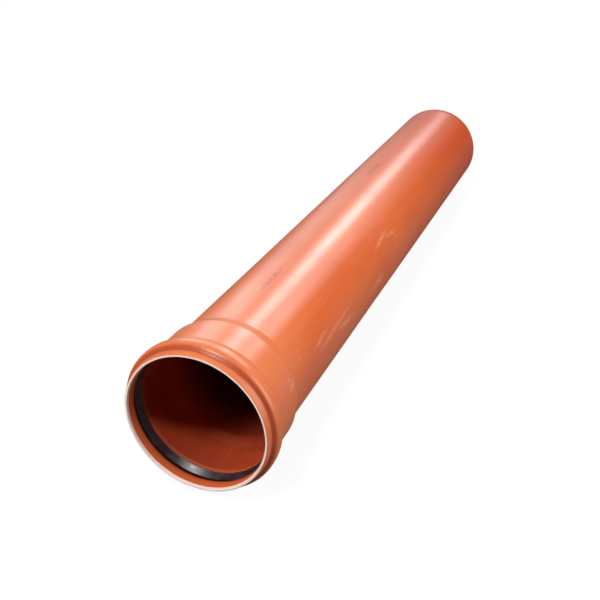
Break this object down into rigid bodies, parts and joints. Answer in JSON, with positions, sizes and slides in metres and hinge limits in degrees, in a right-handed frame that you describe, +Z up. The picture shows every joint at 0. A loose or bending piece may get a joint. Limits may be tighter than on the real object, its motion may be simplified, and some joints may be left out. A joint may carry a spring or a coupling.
{
  "type": "pvc sewer pipe",
  "caption": "Short orange-brown plastic sewer pipe lying on its side: a belled ring-seal socket with a rubber ring at one end, a chamfered plain spigot at the other.",
  "frame": {"origin": "on the floor, under the middle of the lying pipe", "axes": "+Y runs from the socket's mouth to the spigot end, +X is across the pipe, +Z is up. The pipe rests on its bead and on the spigot's edge, so its own axis dips 0.63 degrees towards the spigot end"},
  "size_m": [0.183, 1.0828, 0.183],
  "materials": {
    "pipe_wall": "extruded unplasticised PVC, orange-brown, semi-gloss with faint draw lines",
    "seal_rubber": "moulded black rubber, satin"
  },
  "bodies": {
    "root": {"pipe": "pipe_wall", "sealing_ring": "seal_rubber"}
  },
  "joints": []
}
